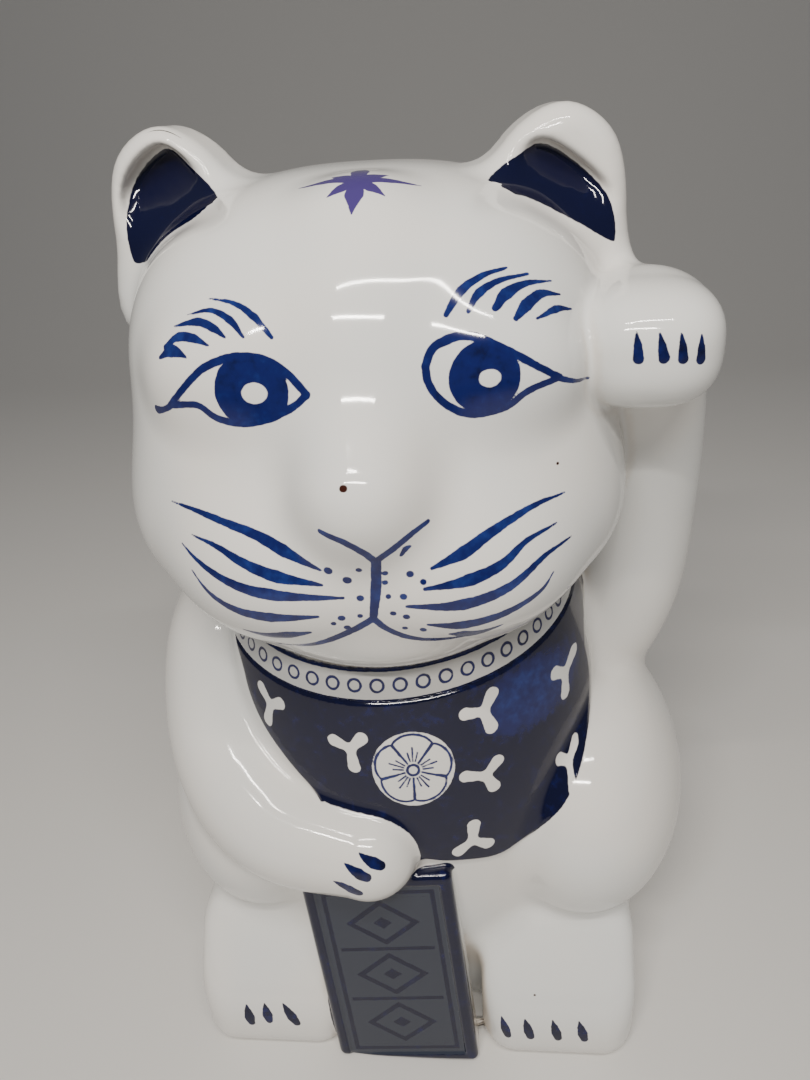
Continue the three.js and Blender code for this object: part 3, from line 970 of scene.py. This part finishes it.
def fine_skin():
    low = (np.array(FRAME_BOUNDS[0]) - ORIGIN) / MM - 6
    high = (np.array(FRAME_BOUNDS[1]) - ORIGIN) / MM + 6
    points, triangles = skin_net(figure, low, high, GRID)
    points = settled(relaxed(settled(points), triangles))
    normals = facing(points)
    paint = painted(points, normals)
    for _ in range(3):
        edges = edge_table(triangles)[0]
        a, b = edges.T
        span = length(points[a] - points[b])
        allowed = np.minimum(finest(paint)[a], finest(paint)[b])
        bend = np.degrees(np.arccos(np.clip((normals[a] * normals[b]).sum(-1), -1, 1)))
        wanted = (span > allowed) | ((bend > SHARP_BEND) & (span > FINEST_BEND))
        triangles, pairs = split_edges(triangles, wanted)
        fresh = settled(points[pairs].mean(1))
        fresh_normals = facing(fresh)
        more = painted(fresh, fresh_normals)
        points = np.vstack([points, fresh])
        normals = np.vstack([normals, fresh_normals])
        paint = {name: np.concatenate([paint[name], more[name]]) for name in paint}
    points[:, 2] = np.maximum(points[:, 2], 0)  # the outer skin stops at the floor
    return points, normals, triangles, paint


# ---- Castings ------------------------------------------------------------------------------------
WALL = 3.5
THICKNESS = {  # of the castings that are thinner than the wall
    "left_ear": 2,
    "right_ear": 2,
    "tail": 2,
    "collar": 1.2,
    "bib": 1.2,
    "plaque": 2,
    "base_disc": 3,
}
FOOT_RIM = 5.0


def owners(points):
    """Which node each point of the skin belongs to."""
    names = list(FORMS)
    owner = np.array(names, dtype=object)[np.stack([form_of(n, points) for n in names]).argmin(0)]
    on_torso = owner == "torso"
    owner[on_torso & (np.abs(collar_height(points)) < COLLAR_HALF)] = "collar"
    owner[on_torso & (bib_distance(points) < 0)] = "bib"
    radius = torso_profile(points[:, 2])[0]
    owner[(points[:, 2] < 0.5) & (np.hypot(points[:, 0], points[:, 1]) < radius - FOOT_RIM)] = "base_disc"
    return owner


def shell(points, normals, triangles, thickness):
    """A closed shell: the outer triangles, the same ones set in by the thickness, and the rim between."""
    used, local = np.unique(triangles, return_inverse=True)
    outer = local.reshape(-1, 3)
    inner = outer[:, ::-1] + len(used)
    pairs = np.vstack([outer[:, [0, 1]], outer[:, [1, 2]], outer[:, [2, 0]]])
    key = pairs[:, 0] * len(used) + pairs[:, 1]
    back = pairs[:, 1] * len(used) + pairs[:, 0]
    a, b = pairs[~np.isin(key, back)].T
    rim = np.vstack([np.stack([b, a, a + len(used)], -1), np.stack([b, a + len(used), b + len(used)], -1)])
    places = np.vstack([points[used], points[used] - thickness * normals[used]])
    both_normals = np.vstack([normals[used], -normals[used]])
    return used, places, both_normals, np.vstack([outer, inner, rim])


def mesh_object(name, places, normals, faces, values):
    """A smooth mesh with its own normals, and the values as attributes of its points."""
    mesh = bpy.data.meshes.new(name)
    mesh.from_pydata((places * MM + ORIGIN).tolist(), [], faces.tolist())
    mesh.polygons.foreach_set("use_smooth", np.ones(len(faces), bool))
    mesh.normals_split_custom_set_from_vertices(normals.tolist())
    for attribute, column in values.items():
        layer = mesh.attributes.new(attribute, "FLOAT", "POINT")
        layer.data.foreach_set("value", column.astype(np.float32))
    made = bpy.data.objects.new(name, mesh)
    bpy.context.scene.collection.objects.link(made)
    return made


# ---- Materials -----------------------------------------------------------------------------------
MIX_A, MIX_B, MIX_RESULT = 6, 7, 2  # the colour sockets of a Mix node
ATTRIBUTE_FACTOR = 2
OBJECT_COORDINATES = 3


class Nodes:
    """Adds shader nodes to a material and links them as they are made."""

    def __init__(self, name):
        self.material = bpy.data.materials.new(name)
        self.material.use_nodes = True
        self.tree = self.material.node_tree
        self.shader = self.tree.nodes["Principled BSDF"]

    def add(self, kind, *inputs, output=0, **settings):
        node = self.tree.nodes.new("ShaderNode" + kind)
        for name, value in settings.items():
            setattr(node, name, value)
        for socket, value in zip(node.inputs, inputs):
            self.feed(socket, value)
        return node.outputs[output]

    def feed(self, socket, value):
        if isinstance(value, bpy.types.NodeSocket):
            self.tree.links.new(value, socket)
        elif value is not None:
            socket.default_value = value

    def math(self, operation, *inputs):
        return self.add("Math", *inputs, operation=operation)

    def attribute(self, name):
        return self.add("Attribute", attribute_name=name, output=ATTRIBUTE_FACTOR)

    def place(self):
        return self.add("TexCoord", output=OBJECT_COORDINATES)

    def noise(self, scale, detail=2.0, place=None):
        node = self.tree.nodes.new("ShaderNodeTexNoise")
        self.feed(node.inputs["Vector"], self.place() if place is None else place)
        node.inputs["Scale"].default_value = scale / MM / 1000
        node.inputs["Detail"].default_value = detail
        return node.outputs["Fac"]

    def spread(self, value, low, high, to_low=0.0, to_high=1.0):
        """Smooth step of value from low to high."""
        node = self.tree.nodes.new("ShaderNodeMapRange")
        node.interpolation_type = "SMOOTHSTEP"
        for socket, given in zip(node.inputs, (value, low, high, to_low, to_high)):
            self.feed(socket, given)
        return node.outputs[0]

    def mix(self, share, a, b):
        node = self.tree.nodes.new("ShaderNodeMix")
        node.data_type = "RGBA"
        self.feed(node.inputs["Factor"], share)
        self.feed(node.inputs[MIX_A], a)
        self.feed(node.inputs[MIX_B], b)
        return node.outputs[MIX_RESULT]


def colour(red, green, blue):
    return (red, green, blue, 1.0)


PORCELAIN = colour(0.80, 0.775, 0.735)
PORCELAIN_COOL = colour(0.74, 0.745, 0.73)
# painted shade: the warm dark that creases and hollows are mixed towards, with the tint of glaze pooled in
# them
CREVICE_SHADE = colour(0.55, 0.46, 0.36)
# the plaque panel's slate wash, and on the collar band a grey tint with painted shade under the chin
SLATE_AND_COLLAR_SHADE = colour(0.03, 0.036, 0.055)
COBALT_THIN = colour(0.016, 0.036, 0.19)
COBALT = colour(0.006, 0.010, 0.085)
NAVY = colour(0.003, 0.004, 0.024)
VIOLET = colour(0.06, 0.04, 0.17)
RUST = colour(0.035, 0.008, 0.004)


def glazed(name):
    """Clear glaze over a white body with cobalt painted under it."""
    n = Nodes(name)
    body = n.mix(n.spread(n.noise(22), 0.35, 0.65), PORCELAIN, PORCELAIN_COOL)
    # Painted shade: creases and hollows darken towards a warm brown the more enclosed they are, with the tint
    # of glaze pooled there.
    body = n.mix(n.spread(n.attribute("hollow"), 0.35, 1.0, 0.0, 0.55), body, CREVICE_SHADE)
    # The plaque's slate wash, and on the collar band a grey tint with painted shade under the chin.
    body = n.mix(n.attribute("wash"), body, SLATE_AND_COLLAR_SHADE)
    ragged = n.math("MULTIPLY", n.math("SUBTRACT", n.noise(900), 0.5), 0.25)
    edge = n.math("ADD", n.attribute("ink"), ragged)
    cover = n.spread(edge, 0.08, -0.08)
    pools = n.math("MULTIPLY", n.math("SUBTRACT", n.noise(260), 0.5), 0.5)
    pooled = n.math("ADD", n.attribute("tone"), pools)
    streaks = n.math("MULTIPLY", n.math("SUBTRACT", n.noise(650, 3.0), 0.5), 0.7)
    pooled = n.math("ADD", pooled, streaks)
    pigment = n.mix(n.spread(pooled, 0.1, 0.6), COBALT_THIN, COBALT)
    pigment = n.mix(n.spread(pooled, 0.6, 1.0), pigment, NAVY)
    pigment = n.mix(n.spread(n.attribute("hue"), 0.2, 0.8), pigment, VIOLET)
    pigment = n.mix(n.spread(n.attribute("hue"), -0.2, -0.8), pigment, RUST)
    shown = n.mix(cover, body, pigment)
    n.feed(n.shader.inputs["Base Color"], shown)
    n.shader.inputs["Roughness"].default_value = 0.07
    bump = n.tree.nodes.new("ShaderNodeBump")
    bump.inputs["Strength"].default_value = 0.25
    bump.inputs["Distance"].default_value = 0.4 * MM
    n.feed(bump.inputs["Height"], n.noise(70))
    n.feed(n.shader.inputs["Normal"], bump.outputs[0])
    return n.material


BISQUE = colour(0.72, 0.66, 0.56)
BISQUE_DARK = colour(0.60, 0.52, 0.42)


def bisque(name):
    """The bare fired body of the underside: matt, sandy and a little stained."""
    n = Nodes(name)
    sandy = n.mix(n.spread(n.noise(160, 4.0), 0.35, 0.7), BISQUE, BISQUE_DARK)
    n.feed(n.shader.inputs["Base Color"], sandy)
    n.shader.inputs["Roughness"].default_value = 0.85
    bump = n.tree.nodes.new("ShaderNodeBump")
    bump.inputs["Strength"].default_value = 0.4
    bump.inputs["Distance"].default_value = 0.15 * MM
    n.feed(bump.inputs["Height"], n.noise(1800))
    n.feed(n.shader.inputs["Normal"], bump.outputs[0])
    return n.material


# ---- Assembly ------------------------------------------------------------------------------------
def build_figure():
    points, normals, triangles, paint = fine_skin()
    owner = owners(points[triangles].mean(1))
    for node in NODES:
        own = triangles[owner == node]
        used, places, both_normals, faces = shell(points, normals, own, THICKNESS.get(node, WALL))
        values = {name: np.tile(paint[name][used], 2) for name in paint}
        piece = mesh_object(node + "_glazed", places, both_normals, faces, values)
        piece.data.materials.append(bisque(node) if node == "base_disc" else glazed(node))
        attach(piece, "root")
        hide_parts(node)
        print(node, len(faces), "triangles")


PAPER = colour(0.7, 0.685, 0.66)
SWEEP_WIDTH = 4.0  # the sweep and the lights are in metres
SWEEP_FRONT = -1.6
SWEEP_BACK = 0.45
SWEEP_BEND = 0.5
SWEEP_HEIGHT = 2.0


def build_floor():
    """A paper sweep: a level floor that bends up into a wall behind the cat."""
    turn = np.linspace(0, np.pi / 2, 25)
    bend = np.column_stack([SWEEP_BACK + SWEEP_BEND * np.sin(turn), SWEEP_BEND * (1 - np.cos(turn))])
    profile = np.vstack([(SWEEP_FRONT, 0), bend, (SWEEP_BACK + SWEEP_BEND, SWEEP_HEIGHT)])
    profile[:, 1] += ORIGIN[2]
    places = [(side * SWEEP_WIDTH / 2, y, z) for y, z in profile for side in (-1, 1)]
    faces = [(2 * i, 2 * i + 1, 2 * i + 3, 2 * i + 2) for i in range(len(profile) - 1)]
    mesh = bpy.data.meshes.new("floor")
    mesh.from_pydata(places, [], faces)
    mesh.polygons.foreach_set("use_smooth", np.ones(len(faces), bool))
    floor = bpy.data.objects.new("floor", mesh)
    bpy.context.scene.collection.objects.link(floor)
    n = Nodes("floor")
    n.shader.inputs["Base Color"].default_value = PAPER
    n.shader.inputs["Roughness"].default_value = 0.8
    mesh.materials.append(n.material)


ROOM_TINT = colour(0.92, 0.95, 1.0)
ROOM_STRENGTH = 0.16
TUBE_TINT = (1.0, 0.95, 0.88)
TUBE_TARGET = (0, 0, 0.10)


def area_light(name, place, size, power):
    """A lit rectangle that faces the cat."""
    data = bpy.data.lights.new(name, "AREA")
    data.shape = "RECTANGLE"
    data.size, data.size_y = size
    data.energy = power
    data.color = TUBE_TINT
    lamp = bpy.data.objects.new(name, data)
    bpy.context.scene.collection.objects.link(lamp)
    away = (np.array(place) - np.array(TUBE_TARGET)).tolist()
    turn = Vector(away).to_track_quat("Z", "Y").to_matrix()
    lamp.matrix_world = Matrix.Translation(Vector(place)) @ turn.to_4x4()


def build_lights():
    """Dim, even room light, and a pair of tubes above and in front that leave thin streaks in the glaze."""
    world = bpy.data.worlds.new("studio")
    world.use_nodes = True
    background = world.node_tree.nodes["Background"]
    background.inputs["Color"].default_value = ROOM_TINT
    background.inputs["Strength"].default_value = ROOM_STRENGTH
    bpy.context.scene.world = world
    area_light("tube", (-0.02, -0.33, 0.42), (0.28, 0.009), 1.7)
    area_light("second_tube", (0.02, -0.22, 0.47), (0.28, 0.007), 1.0)


CAMERA_DISTANCE = 153.0  # figure millimetres, level, from the cat's middle
CAMERA_HEIGHT = 181.0
CAMERA_AZIMUTH = 6.0  # degrees
CAMERA_PITCH = 28.0
CAMERA_ROLL = 3.6
LENS = 27.07


def build_camera():
    """A hand-held close view, from just above the cat's own height."""
    azimuth, pitch, roll = np.radians([CAMERA_AZIMUTH, CAMERA_PITCH, CAMERA_ROLL])
    swing = np.array(Matrix.Rotation(azimuth, 3, "Z"))
    ahead = swing @ np.array([0, np.cos(pitch), -np.sin(pitch)])
    up = swing @ np.array([0, np.sin(pitch), np.cos(pitch)])
    right = swing @ np.array([1, 0, 0])
    right, up = np.cos(roll) * right - np.sin(roll) * up, np.sin(roll) * right + np.cos(roll) * up
    place = swing @ np.array([0, -CAMERA_DISTANCE, CAMERA_HEIGHT]) * MM + ORIGIN
    camera = bpy.data.objects.new("camera", bpy.data.cameras.new("camera"))
    camera.data.lens = LENS
    camera.data.clip_start = 0.01
    camera.matrix_world = Matrix(np.column_stack([right, up, -ahead, place]).tolist() + [[0, 0, 0, 1]])
    bpy.context.scene.collection.objects.link(camera)
    bpy.context.scene.camera = camera


build_figure()
build_floor()
build_lights()
build_camera()
